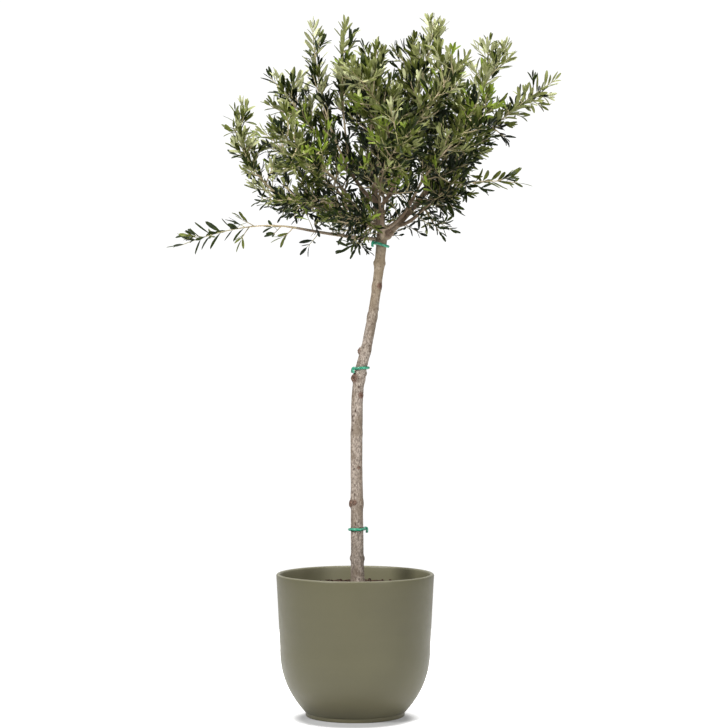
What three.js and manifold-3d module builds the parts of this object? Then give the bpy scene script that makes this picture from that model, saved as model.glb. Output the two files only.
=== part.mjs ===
// Potted olive tree: a standard olive, clipped to one bare stem under a loose crown, in a round-bottomed pot.
// Millimetres, +Z up. The origin is the centre of the pot's flat underside.
// Azimuths are in degrees, anticlockwise from +X seen from above, and -Y is the front.

import * as THREE from "three";
import { mergeVertices } from "three/addons/utils/BufferGeometryUtils.js";
import Module from "manifold-3d";

const wasm = await Module();
wasm.setup();

// ---- Driving dimensions ----

const GAP = 0.3; // clearance between pieces that touch
const UP = new THREE.Vector3(0, 0, 1);
const GOLDEN_ANGLE = 137.5;

const POT = {
  sides: 30,
  height: 315,
  rimRadius: 175,
  waistRadius: 166.8, // where the straight side turns into the bowl
  waistHeight: 155,
  footRadius: 110,
  footHeight: 10,
  footStep: 2, // how far the bowl stands out over the foot
  wall: 9,
  floor: 14,
  bowlFullness: 2.4, // exponent of the bowl's curve: 2 is a parabola
};
const SOIL = { top: 287, mound: 5, moundRadius: 60 };

const TRUNK = {
  foot: [5.5, 0], // where it leaves the soil
  bend: [8, 3, 742], // straight up to here, then it leans
  fork: [60, -4, 1066],
  flare: 19,
  footRadius: 14.4,
  midRadius: 12.8,
  neckRadius: 10.3,
  forkRadius: 12.2,
};
// Pruned stubs and swellings on the trunk: height, azimuth, size, how far out of the bark the centre sits.
const KNOTS = [
  { height: 346, azimuth: 5, size: 6, out: 0.85 },
  { height: 347, azimuth: 185, size: 6, out: 0.85 },
  { height: 468, azimuth: 200, size: 9, out: 0.72 },
  { height: 474, azimuth: 320, size: 7, out: 0.75 },
  { height: 585, azimuth: 80, size: 8, out: 0.7 },
  { height: 708, azimuth: 305, size: 7.5, out: 0.78 },
  { height: 746, azimuth: 225, size: 10.5, out: 0.8 },
  { height: 757, azimuth: 345, size: 6.5, out: 0.85 },
  { height: 806, azimuth: 185, size: 7.5, out: 0.9 },
  { height: 882, azimuth: 100, size: 7, out: 0.8 },
  { height: 950, azimuth: 305, size: 7.5, out: 0.75 },
  { height: 1001, azimuth: 175, size: 7, out: 0.75 },
  { height: 1001, azimuth: 5, size: 6.5, out: 0.75 },
];

const TIE = { tube: 3.1, tail: 13 };
// Each tie's height, its fall towards +X in degrees, and the azimuth of its knot.
const TIES = [
  { name: "tie_lower", height: 413, fall: -3, knot: 10 },
  { name: "tie_middle", height: 770, fall: -4, knot: 205 },
  { name: "tie_upper", height: 1043, fall: 14, knot: 190 },
];

const CROWN = { x: 60, y: 0 }; // the axis that the boughs and masses are measured from

// Every bough: its parent, the share of the parent's length at which it leaves, the heading it leaves on, its
// tip as azimuth, reach from the crown's axis and height, and its radii at base and tip.
const BOUGHS = [
  ["leader", "trunk", 1, [-0.25, 0.1, 1], [200, 20, 1176], [10, 6.4]],
  ["right", "trunk", 0.985, [0.75, 0, 0.66], [4, 98, 1160], [8.6, 5]],
  ["left", "leader", 0.1, [-0.9, -0.1, 0.4], [183, 200, 1142], [6.6, 3.8]],
  ["front", "trunk", 0.985, [0.1, -1, 0.35], [266, 84, 1120], [6.4, 4.2]],
  ["back", "trunk", 0.98, [0.05, 1, 0.35], [88, 84, 1124], [6.6, 4.2]],
  ["low_left", "trunk", 0.985, [-1, -0.15, 0.05], [182, 190, 1080], [4.6, 3]],
  ["low_right", "right", 0.3, [1, -0.4, 0.1], [342, 104, 1130], [4.8, 3.4]],
  ["front_left", "left", 0.22, [-0.2, -1, 0.3], [228, 98, 1130], [4.8, 3.4]],
  ["front_right", "front", 0.4, [1, -0.2, 0.3], [314, 98, 1146], [4.8, 3.4]],
  ["back_left", "back", 0.5, [-1, 0.2, 0.3], [138, 98, 1138], [4.6, 3.4]],
  ["back_right", "back", 0.4, [1, 0.2, 0.35], [42, 102, 1140], [4.8, 3.4]],
  ["upper_left", "leader", 0.62, [-1, 0, 0.8], [184, 76, 1214], [5.2, 3.6]],
  ["upper_right", "leader", 0.5, [0.9, 0.3, 0.8], [20, 44, 1220], [5.2, 3.6]],
  ["upper_front", "leader", 0.8, [0.1, -1, 0.6], [276, 52, 1218], [4.8, 3.4]],
  ["upper_back", "leader", 0.75, [-0.1, 1, 0.6], [100, 54, 1222], [4.8, 3.4]],
].map(([name, parent, share, start, tip, radii]) => ({ name, parent, share, start, tip, radii }));

// Every mass of foliage: the bough that its stem grows from and the share of that bough's length, the tip
// of its last leaf as azimuth, reach and height, the length of its longest side twigs, their number, the
// share of the stem that has none, and how strongly they turn up.
const MASSES = [
  ["top", "leader", 1, [262, 60, 1498], 90, 3, 0.3, 0.9],
  ["top_left", "upper_left", 1, [178, 156, 1551], 88, 3, 0.2, 1.0],
  ["top_middle", "upper_left", 0.78, [150, 92, 1556], 72, 3, 0.35, 1.0],
  ["top_right", "upper_right", 1, [10, 121, 1560], 84, 3, 0.2, 1.0],
  ["top_back", "upper_right", 0.72, [58, 132, 1530], 90, 3, 0.3, 1.0],
  ["upper_front", "upper_front", 1, [250, 232, 1412], 108, 3, 0.15, 0.8],
  ["upper_front_right", "upper_front", 0.45, [320, 252, 1452], 110, 3, 0.2, 0.8],
  ["upper_back", "upper_back", 1, [112, 240, 1440], 120, 3, 0.15, 0.8],
  ["upper_back_right", "upper_right", 0.45, [42, 262, 1450], 115, 3, 0.2, 0.8],
  ["right_upper", "right", 0.72, [5, 284, 1506], 110, 3, 0.12, 0.9],
  ["far_right", "right", 1, [1, 400, 1420], 62, 3, 0.22, 0.05],
  ["left_upper", "upper_left", 0.5, [172, 266, 1434], 115, 3, 0.15, 0.8],
  ["left_side", "left", 1, [182, 328, 1358], 76, 3, 0.15, 0.6],
  ["front", "front", 1, [284, 300, 1284], 120, 3, 0.1, 0.6],
  ["front_left", "front_left", 1, [220, 330, 1290], 120, 3, 0.1, 0.5],
  ["front_right", "front_right", 1, [338, 298, 1362], 115, 3, 0.1, 0.5],
  ["back", "back", 1, [92, 306, 1296], 120, 3, 0.1, 0.6],
  ["back_left", "back_left", 1, [148, 328, 1286], 120, 3, 0.1, 0.5],
  ["back_right", "back_right", 1, [40, 302, 1352], 115, 3, 0.1, 0.5],
  ["low_front", "front", 0.72, [242, 218, 1066], 90, 3, 0.1, 0.1],
  ["low_front_right", "low_right", 0.66, [318, 226, 1188], 90, 3, 0.1, 0.0],
  ["low_back", "back", 0.72, [118, 236, 1090], 95, 3, 0.1, 0.1],
  ["low_back_right", "back_right", 0.72, [36, 240, 1188], 90, 3, 0.1, 0.0],
  ["low_back_left", "back_left", 0.72, [160, 284, 1130], 95, 3, 0.1, 0.1],
  ["low_front_left", "front_left", 0.72, [203, 288, 1132], 95, 3, 0.1, 0.1],
  ["low_right", "low_right", 1, [357, 320, 1176], 44, 3, 0.1, 0],
  ["low_left", "low_left", 1, [183, 466, 1032], 46, 3, 0.02, -0.2],
].map(([name, bough, from, tip, spread, twigs, bare, lift]) => {
  return { name, bough, from, tip, spread, twigs, bare, lift };
});

const STEM = { radii: [3.2, 1.9], steps: 8, leafless: 0.12 };
const TWIG = { radii: [2.2, 1.4], steps: 4, sway: 0.16, divergence: [34, 60], leafless: 0.2 };
const SPACE = { margin: 3, leastShare: 0.45 }; // a twig cut shorter than this share is skipped
const LEAF = {
  length: 72,
  tipLength: 60, // of the leaf at a twig's tip
  width: 20,
  thickness: 2.4,
  spacing: 50,
  angle: [30, 58],
  sunk: 1, // how far its root goes past the middle of its twig
};
const SEED = 4127;

// ---- Colours ----

const finish = (color, roughness) => new THREE.MeshStandardMaterial({ color, roughness, metalness: 0 });
const MATERIAL = {
  pot: finish(0x75715a, 0.62),
  soil: finish(0x32261d, 0.95),
  bark: finish(0x9a8876, 0.85),
  tie: finish(0x1f9c78, 0.45),
  foliage: finish(0x66703f, 0.7),
};

// ---- Seeded chance: each mass and each twig draws from its own seed ----

function chance(seed) {
  let state = seed >>> 0;
  return () => {
    state = (state + 0x6d2b79f5) >>> 0;
    let mixed = Math.imul(state ^ (state >>> 15), state | 1);
    mixed ^= mixed + Math.imul(mixed ^ (mixed >>> 7), mixed | 61);
    return ((mixed ^ (mixed >>> 14)) >>> 0) / 4294967296;
  };
}

const between = ([low, high], share) => low + (high - low) * share;
const radians = THREE.MathUtils.degToRad;

// ---- Points, headings and paths ----

// A place in the crown, from its azimuth, reach and height.
function inCrown([azimuth, reach, height]) {
  const turn = radians(azimuth);
  return new THREE.Vector3(CROWN.x + reach * Math.cos(turn), CROWN.y + reach * Math.sin(turn), height);
}

// A unit vector square to a heading, turned about it by an angle in degrees.
function sideways(heading, angle) {
  const reference = Math.abs(heading.z) > 0.97 ? new THREE.Vector3(1, 0, 0) : UP;
  const across = new THREE.Vector3().crossVectors(heading, reference);
  return across.normalize().applyAxisAngle(heading, radians(angle));
}

// A heading leant away from another, towards one side, by an angle in degrees.
function leant(heading, side, angle) {
  const lean = radians(angle);
  return heading.clone().multiplyScalar(Math.cos(lean)).addScaledVector(side, Math.sin(lean)).normalize();
}

// The place and heading at a share of a path's length.
function along(path, share) {
  const lengths = path.slice(1).map((point, i) => point.distanceTo(path[i]));
  let left = share * lengths.reduce((sum, length) => sum + length, 0);
  let i = 0;
  while (i < lengths.length - 1 && left > lengths[i]) left -= lengths[i++];
  const heading = path[i + 1].clone().sub(path[i]).normalize();
  return { at: path[i].clone().addScaledVector(heading, left), heading };
}

const lengthOf = (path) => path.slice(1).reduce((sum, point, i) => sum + point.distanceTo(path[i]), 0);

// A path that leaves a point on a heading and bends round to another point.
function bentPath(from, heading, to, steps) {
  const knee = from.clone().addScaledVector(heading, from.distanceTo(to) * 0.42);
  return new THREE.QuadraticBezierCurve3(from, knee, to).getPoints(steps);
}

// A twig's path: a few steps that sway, and turn up by its lift.
function twigPath(from, heading, length, lift, draw) {
  const direction = heading.clone();
  const path = [from.clone()];
  for (let i = 0; i < TWIG.steps; i++) {
    const sway = new THREE.Vector3(draw() - 0.5, draw() - 0.5, draw() - 0.5).multiplyScalar(2 * TWIG.sway);
    direction.add(sway).addScaledVector(UP, lift / TWIG.steps).normalize();
    path.push(path.at(-1).clone().addScaledVector(direction, length / TWIG.steps));
  }
  return path;
}

// How far a point is from a path.
function distanceTo(path, point) {
  const nearest = new THREE.Vector3();
  const distances = path.slice(1).map((end, i) => {
    return new THREE.Line3(path[i], end).closestPointToPoint(point, true, nearest).distanceTo(point);
  });
  return Math.min(...distances);
}

// ---- Solids ----

function solidFrom(geometry) {
  const bare = geometry.clone();
  bare.deleteAttribute("normal");
  bare.deleteAttribute("uv");
  const merged = mergeVertices(bare, 1e-3);
  return new wasm.Manifold(
    new wasm.Mesh({
      numProp: 3,
      vertProperties: merged.attributes.position.array,
      triVerts: new Uint32Array(merged.index.array),
    }),
  );
}

function geometryFrom(solid) {
  const mesh = solid.getMesh();
  return new THREE.BufferGeometry()
    .setAttribute("position", new THREE.BufferAttribute(new Float32Array(mesh.vertProperties), 3))
    .setIndex(new THREE.BufferAttribute(new Uint32Array(mesh.triVerts), 1));
}

// The outer shell of the largest piece: a hollow that joining sealed is filled, and a loose scrap is dropped.
const largestShell = (solid) =>
  solid.decompose().reduce((best, piece) => (piece.volume() > best.volume() ? piece : best));

// A tapering limb: a cylinder whose rings are carried along a path. radiusAt takes a share of its length.
function limbGeometry(path, sides, rings, radiusAt) {
  const geometry = new THREE.CylinderGeometry(1, 1, 1, sides, rings);
  const place = geometry.attributes.position;
  const curve = new THREE.CatmullRomCurve3(path);
  const frames = Array.from({ length: rings + 1 }, (_, i) => {
    const heading = curve.getTangentAt(i / rings);
    return { at: curve.getPointAt(i / rings), heading, radius: radiusAt(i / rings) };
  });
  frames.forEach((frame, i) => {
    const before = i ? frames[i - 1].across : new THREE.Vector3(0, 1, 0);
    frame.across = before.clone().addScaledVector(frame.heading, -before.dot(frame.heading)).normalize();
    frame.beside = new THREE.Vector3().crossVectors(frame.heading, frame.across);
  });
  for (let i = 0; i < place.count; i++) {
    const { at, across, beside, radius } = frames[Math.round((place.getY(i) + 0.5) * rings)];
    const point = at
      .clone()
      .addScaledVector(across, radius * place.getX(i))
      .addScaledVector(beside, -radius * place.getZ(i));
    place.setXYZ(i, point.x, point.y, point.z);
  }
  return geometry;
}

const tapered = (radii, extra = 0) => (share) => between(radii, share) + extra;

// ---- Pot and soil ----

// The pot's outer radius at a height: a straight side over a bowl that steps in to the foot.
function potRadius(height) {
  if (height >= POT.waistHeight) {
    const share = (height - POT.waistHeight) / (POT.height - POT.waistHeight);
    return between([POT.waistRadius, POT.rimRadius], share);
  }
  const drop = (POT.waistHeight - height) / (POT.waistHeight - POT.footHeight);
  const full = 1 - Math.pow(drop, POT.bowlFullness);
  return POT.footRadius + POT.footStep + (POT.waistRadius - POT.footRadius - POT.footStep) * full;
}

function bowlHeights(low, steps) {
  const heights = [];
  for (let i = 0; i <= steps; i++) {
    heights.push(between([low, POT.waistHeight], 1 - Math.cos((i / steps) * Math.PI * 0.5)));
  }
  return heights;
}

const insideRadius = (height) => potRadius(Math.max(height, POT.footHeight + 6)) - POT.wall;

function potGeometry() {
  const profile = [new THREE.Vector2(0, 0), new THREE.Vector2(POT.footRadius, 0)];
  profile.push(new THREE.Vector2(POT.footRadius, POT.footHeight));
  for (const height of bowlHeights(POT.footHeight, 7)) {
    profile.push(new THREE.Vector2(potRadius(height), height));
  }
  const lip = POT.wall / 2;
  for (let i = 0; i <= 3; i++) {
    const turn = (i / 3) * Math.PI;
    profile.push(
      new THREE.Vector2(POT.rimRadius - lip + lip * Math.cos(turn), POT.height - lip + lip * Math.sin(turn)),
    );
  }
  for (const height of bowlHeights(POT.floor, 4).reverse()) {
    profile.push(new THREE.Vector2(insideRadius(height), height));
  }
  profile.push(new THREE.Vector2(0, POT.floor));
  return new THREE.LatheGeometry(profile, POT.sides).rotateX(Math.PI / 2);
}

function soilGeometry() {
  const low = POT.floor + GAP;
  const profile = [new THREE.Vector2(0, low)];
  for (const height of bowlHeights(low, 4)) {
    profile.push(new THREE.Vector2(insideRadius(height) - 2 * GAP, height));
  }
  const edge = SOIL.top - SOIL.mound;
  profile.push(new THREE.Vector2(insideRadius(edge) - 2 * GAP, edge));
  profile.push(new THREE.Vector2(SOIL.moundRadius, SOIL.top));
  profile.push(new THREE.Vector2(0, SOIL.top));
  return new THREE.LatheGeometry(profile, POT.sides).rotateX(Math.PI / 2);
}

// ---- Trunk, boughs and ties ----

const trunkPath = () => {
  const [bendX, bendY, bendZ] = TRUNK.bend;
  const [forkX, forkY, forkZ] = TRUNK.fork;
  const foot = new THREE.Vector3(...TRUNK.foot, SOIL.top - 4);
  const lean = (share, height) =>
    new THREE.Vector3(between([bendX, forkX], share), between([bendY, forkY], share), height);
  return [
    foot,
    new THREE.Vector3(TRUNK.foot[0] - 1.5, 2.5, between([foot.z, bendZ], 0.35)),
    new THREE.Vector3(TRUNK.foot[0] - 2.2, 3.5, between([foot.z, bendZ], 0.75)),
    new THREE.Vector3(bendX, bendY, bendZ),
    lean(0.34, bendZ + 78),
    lean(0.74, bendZ + 196),
    new THREE.Vector3(forkX, forkY, forkZ),
  ];
};

// The trunk's radius: a root flare that dies out, a slow taper, and a swelling under the fork.
function trunkRadius(share) {
  const flare = (TRUNK.flare - TRUNK.footRadius) * Math.exp(-share * 42);
  if (share < 0.6) return flare + between([TRUNK.footRadius, TRUNK.midRadius], share / 0.6);
  if (share < 0.85) return flare + between([TRUNK.midRadius, TRUNK.neckRadius], (share - 0.6) / 0.25);
  return flare + between([TRUNK.neckRadius, TRUNK.forkRadius], (share - 0.85) / 0.15);
}

// The share of the trunk's length at a height.
function shareAtHeight(height) {
  const curve = new THREE.CatmullRomCurve3(trunkPath());
  let low = 0;
  let high = 1;
  for (let i = 0; i < 24; i++) {
    const middle = (low + high) / 2;
    if (curve.getPointAt(middle).z < height) low = middle;
    else high = middle;
  }
  return low;
}

const TRUNK_SIDES = 8;
const TRUNK_RINGS = 18;
const limbs = new Map(); // every limb's path, radii and fattened solid, for what grows on it or clears it

// A limb's fattened solid stands off its sides and both its ends.
function addLimb(name, path, sides, rings, radiusAt) {
  const clear = (GAP + 0.05) / Math.cos(Math.PI / sides);
  const longer = path.map((point) => point.clone());
  longer[0].addScaledVector(along(path, 0).heading, -clear);
  longer.at(-1).addScaledVector(along(path, 1).heading, clear);
  const fat = solidFrom(limbGeometry(longer, sides, rings, (share) => radiusAt(share) + clear));
  limbs.set(name, { path: new THREE.CatmullRomCurve3(path).getSpacedPoints(12), radiusAt, fat });
  return solidFrom(limbGeometry(path, sides, rings, radiusAt));
}

function trunkSolid() {
  let solid = addLimb("trunk", trunkPath(), TRUNK_SIDES, TRUNK_RINGS, trunkRadius);
  const curve = new THREE.CatmullRomCurve3(trunkPath());
  for (const knot of KNOTS) {
    const share = shareAtHeight(knot.height);
    const turn = radians(knot.azimuth);
    const out = new THREE.Vector3(Math.cos(turn), Math.sin(turn), 0.15);
    const at = curve.getPointAt(share).addScaledVector(out, trunkRadius(share) * knot.out - knot.size * 0.25);
    const bump = new THREE.IcosahedronGeometry(knot.size, 0).scale(1, 1, 1.15).translate(at.x, at.y, at.z);
    solid = solid.add(solidFrom(bump));
  }
  return solid.trimByPlane([0, 0, 1], SOIL.top + GAP);
}

// A bough is cut clear of the limbs that were made before it, which seats its foot on its parent.
function boughSolid(bough) {
  const parent = limbs.get(bough.parent);
  const from = along(parent.path, bough.share).at;
  const path = bentPath(from, new THREE.Vector3(...bough.start).normalize(), inCrown(bough.tip), 5);
  const others = [...limbs.values()].map((limb) => limb.fat);
  const solid = addLimb(bough.name, path, 5, 4, tapered(bough.radii));
  return largestShell(others.reduce((rest, fat) => rest.subtract(fat), solid));
}

function tieSolid(tie) {
  const curve = new THREE.CatmullRomCurve3(trunkPath());
  const share = shareAtHeight(tie.height);
  const at = curve.getPointAt(share);
  const ringRadius = (trunkRadius(share) + GAP + TIE.tube) / Math.cos(Math.PI / 12);
  const ring = solidFrom(new THREE.TorusGeometry(ringRadius, TIE.tube, 5, 12));
  const ball = new THREE.IcosahedronGeometry(TIE.tube * 1.5, 0).translate(ringRadius + TIE.tube * 0.7, 0, 0);
  const knot = solidFrom(ball);
  const tail = solidFrom(
    new THREE.CylinderGeometry(TIE.tube * 0.7, TIE.tube * 0.55, TIE.tail, 5)
      .rotateX(radians(-78))
      .translate(ringRadius + TIE.tube * 1.2, TIE.tail * 0.35, -TIE.tail * 0.3),
  );
  const tied = ring
    .add(knot)
    .add(tail)
    .rotate([0, 0, tie.knot])
    .rotate([0, tie.fall, 0])
    .translate([at.x, at.y, at.z]);
  return [...limbs.values()].reduce((rest, limb) => rest.subtract(limb.fat), tied.subtract(trunk));
}

// ---- Foliage ----

// A mass's stem grows on from its bough's tip, and stops short of the mass's own tip by its last leaf.
function stemPath(mass) {
  const { at, heading } = along(limbs.get(mass.bough).path, mass.from);
  const towards = inCrown(mass.tip).sub(at).normalize();
  const leaving = heading.lerp(towards, mass.from < 1 ? 0.6 : 0).normalize();
  const whole = bentPath(at, leaving, inCrown(mass.tip), 2 * STEM.steps);
  const share = 1 - (0.88 * LEAF.tipLength) / lengthOf(whole);
  return Array.from({ length: STEM.steps + 1 }, (_, i) => along(whole, (share * i) / STEM.steps).at);
}

// True if a point, with room round it, lies nearer to this mass's stem than to any other and off every limb.
function hasRoom(point, room, mass, stems) {
  const own = distanceTo(stems.get(mass.name), point);
  for (const [name, stem] of stems) {
    if (name !== mass.name && distanceTo(stem, point) < own + SPACE.margin + 2 * room) return false;
  }
  for (const { path, radiusAt } of limbs.values()) {
    if (distanceTo(path, point) < radiusAt(0) + room + 2 * GAP) return false;
  }
  return true;
}

// A twig's path as far as it has room, or null if it is cut too short.
function grownPath(path, radius, mass, stems) {
  const parts = 5 * TWIG.steps;
  for (let i = 3; i <= parts; i++) {
    if (hasRoom(along(path, i / parts).at, radius, mass, stems)) continue;
    const share = (i - 1) / parts;
    if (share < SPACE.leastShare) return null;
    return [path[0], along(path, share / 2).at, along(path, share).at];
  }
  return path;
}

// The side twigs of a mass, as paths that start in its stem.
function sideTwigs(mass, stem, index, stems) {
  const draw = chance(SEED + 101 * index);
  const twigs = [];
  for (let k = 0; k < mass.twigs; k++) {
    const share = between([mass.bare, 0.96], (k + 0.6 * draw()) / mass.twigs);
    const { at, heading } = along(stem, share);
    const side = sideways(heading, k * GOLDEN_ANGLE + 50 * draw());
    const length = mass.spread * (1 - 0.5 * share) * (0.75 + 0.45 * draw());
    const outward = leant(heading, side, between(TWIG.divergence, draw()));
    const path = grownPath(twigPath(at, outward, length, mass.lift, draw), TWIG.radii[0], mass, stems);
    if (path) twigs.push(path);
  }
  return twigs;
}

// One leaf: widest at its middle, pointed at both ends, flat below and ridged above.
function leafGeometry(points) {
  const { root, left, right, ridge, tip } = points;
  const faces = [0, 1, 2, 0, 2, 3, 0, 3, 1, 4, 2, 1, 4, 3, 2, 4, 1, 3];
  return new THREE.BufferGeometry().setFromPoints([root, left, right, ridge, tip]).setIndex(faces);
}

function leafPoints(root, heading, upper, length) {
  const flat = upper.clone().addScaledVector(heading, -upper.dot(heading)).normalize();
  const across = new THREE.Vector3().crossVectors(heading, flat).multiplyScalar(LEAF.width / 2);
  const middle = root.clone().addScaledVector(heading, 0.45 * length);
  return {
    root,
    left: middle.clone().sub(across),
    right: middle.clone().add(across),
    ridge: middle.clone().addScaledVector(flat, LEAF.thickness),
    tip: root.clone().addScaledVector(heading, length),
  };
}

// True if points all along a leaf's edges and its ridge have room.
function leafHasRoom({ root, left, right, ridge, tip }, mass, stems) {
  const edges = [left, right, ridge].flatMap((corner) => [
    ...[0.4, 0.7, 1].map((share) => root.clone().lerp(corner, share)),
    ...[0.25, 0.5, 0.75, 1].map((share) => corner.clone().lerp(tip, share)),
  ]);
  return edges.every((point) => hasRoom(point, 0.5, mass, stems));
}

// The leaves of one twig: a leaf at the tip, and opposite pairs down it, each pair turned square to the last.
// A leaf that would leave the mass's space, or run into a leaf or twig other than its own, is tried once more
// smaller and closer to its twig, and otherwise skipped.
function addLeaves(leaves, twig, twigs, mass, stems, draw) {
  const pairs = Math.max(1, Math.round((lengthOf(twig.path) * (1 - twig.bare)) / LEAF.spacing));
  const fits = (at, heading, side, angle, length) => {
    const pointing = leant(heading, side, angle);
    const root = at.clone().addScaledVector(pointing, -LEAF.sunk);
    const upper = heading.clone().addScaledVector(pointing, -heading.dot(pointing)).addScaledVector(UP, 0.4);
    const points = leafPoints(root, pointing, upper, length);
    if (!leafHasRoom(points, mass, stems)) return false;
    const leaf = solidFrom(leafGeometry(points));
    const others = twigs.filter((other) => other !== twig);
    others.push(...leaves.filter((other) => other.root.distanceTo(root) > 3));
    if (!others.every((other) => other.solid.intersect(leaf).isEmpty())) return false;
    leaves.push({ root, solid: leaf });
    return true;
  };
  const put = (at, heading, side, angle, length) =>
    fits(at, heading, side, angle, length) || fits(at, heading, side, angle * 0.6, length * 0.75);
  const end = along(twig.path, 0.98);
  put(end.at, end.heading, sideways(end.heading, 360 * draw()), 8, LEAF.tipLength);
  for (let k = 0; k < pairs; k++) {
    const share = between([0.92, twig.bare], (k + 0.4) / pairs);
    const { at, heading } = along(twig.path, share);
    const turn = k * 90 + 40 * draw();
    for (const half of [0, 180]) {
      const angle = between(LEAF.angle, 0.5 * (1 - share) + 0.5 * draw());
      put(at, heading, sideways(heading, turn + half), angle, LEAF.length * (0.8 + 0.3 * draw()));
    }
  }
}

// One mass: its stem, side twigs and leaves joined in one, its foot cut clear of the bough that carries it.
function massSolid(mass, index, stems) {
  const stem = stems.get(mass.name);
  const draw = chance(SEED + 7919 * (index + 1));
  const grown = (path, rings, { radii, leafless }) => {
    return { path, bare: leafless, solid: solidFrom(limbGeometry(path, 3, rings, tapered(radii))) };
  };
  const sides = sideTwigs(mass, stem, index, stems).map((path) => grown(path, 2, TWIG));
  const twigs = [grown(stem, 5, STEM), ...sides];
  const leaves = [];
  for (const twig of twigs) addLeaves(leaves, twig, twigs, mass, stems, draw);
  const joined = wasm.Manifold.union([...twigs, ...leaves].map((piece) => piece.solid)).simplify(0.05);
  const clear = [...limbs.values()].reduce((rest, limb) => rest.subtract(limb.fat), joined);
  return largestShell(clear);
}

// ---- The tree ----

const tree = new THREE.Group();

function place(name, geometry, material) {
  const mesh = new THREE.Mesh(geometry, material);
  mesh.name = name;
  tree.add(mesh);
}

place("pot", potGeometry(), MATERIAL.pot);
place("soil", soilGeometry(), MATERIAL.soil);
const trunk = trunkSolid();
place("trunk", geometryFrom(trunk), MATERIAL.bark);
for (const bough of BOUGHS) place(`bough_${bough.name}`, geometryFrom(boughSolid(bough)), MATERIAL.bark);
for (const tie of TIES) place(tie.name, geometryFrom(tieSolid(tie)), MATERIAL.tie);
const stems = new Map(MASSES.map((mass) => [mass.name, stemPath(mass)]));
MASSES.forEach((mass, index) => {
  place(`foliage_${mass.name}`, geometryFrom(massSolid(mass, index, stems)), MATERIAL.foliage);
});

export default tree;
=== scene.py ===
import math

import bpy
import numpy as np
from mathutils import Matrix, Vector, noise


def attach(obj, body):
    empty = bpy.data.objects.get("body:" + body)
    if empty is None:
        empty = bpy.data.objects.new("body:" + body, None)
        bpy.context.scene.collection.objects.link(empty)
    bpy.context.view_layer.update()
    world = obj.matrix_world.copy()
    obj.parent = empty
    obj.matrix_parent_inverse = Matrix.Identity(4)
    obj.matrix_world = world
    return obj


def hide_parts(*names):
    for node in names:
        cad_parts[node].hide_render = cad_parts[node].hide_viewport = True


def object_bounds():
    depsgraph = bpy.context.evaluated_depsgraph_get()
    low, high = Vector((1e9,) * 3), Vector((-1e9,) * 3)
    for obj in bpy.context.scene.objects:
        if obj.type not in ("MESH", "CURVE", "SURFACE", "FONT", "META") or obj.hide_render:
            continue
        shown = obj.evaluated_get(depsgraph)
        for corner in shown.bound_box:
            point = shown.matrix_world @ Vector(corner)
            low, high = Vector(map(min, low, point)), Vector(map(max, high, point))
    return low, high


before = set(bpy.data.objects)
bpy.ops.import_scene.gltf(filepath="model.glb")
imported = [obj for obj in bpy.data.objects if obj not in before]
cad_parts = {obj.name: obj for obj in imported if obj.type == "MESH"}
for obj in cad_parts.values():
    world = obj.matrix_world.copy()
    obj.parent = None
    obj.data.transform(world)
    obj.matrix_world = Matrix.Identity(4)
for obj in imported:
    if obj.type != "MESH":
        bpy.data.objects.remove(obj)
cad_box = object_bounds()
scene = bpy.context.scene

MM = 0.001
UP = np.array((0.0, 0.0, 1.0))
GOLDEN_ANGLE = 137.5
SEED = 4127

# ---- Sizes shared with the solids ----

POT = dict(
    height=315, rim=175, waist=166.8, waist_height=155, full=2.4,
    foot=110, foot_height=10, step=2, wall=9, floor=14,
)
SOIL_TOP = 287

TRUNK_FOOT = (5.5, 0)
TRUNK_BEND = (8, 3, 742)
TRUNK_FORK = (60, -4, 1066)
FLARE, FOOT_RADIUS, MID_RADIUS, NECK_RADIUS, FORK_RADIUS = 19, 14.4, 12.8, 10.3, 12.2

# Knots on the trunk: height, azimuth, size, how far out of the bark, and whether a pruned stub shows its cut.
KNOTS = (
    (346, 5, 6, 0.85, False),
    (347, 185, 6, 0.85, False),
    (468, 200, 9, 0.72, True),
    (474, 320, 7, 0.75, False),
    (585, 80, 8, 0.70, False),
    (708, 305, 7.5, 0.78, True),
    (746, 225, 10.5, 0.80, True),
    (757, 345, 6.5, 0.85, False),
    (806, 185, 7.5, 0.90, True),
    (882, 100, 7, 0.80, False),
    (950, 305, 7.5, 0.75, True),
    (1001, 175, 7, 0.75, False),
    (1001, 5, 6.5, 0.75, False),
)

TIE_TUBE = 3.1
TIES = (("tie_lower", 413, -3, 10), ("tie_middle", 770, -4, 205), ("tie_upper", 1043, 14, 190))

CROWN = (60, 0)

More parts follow.
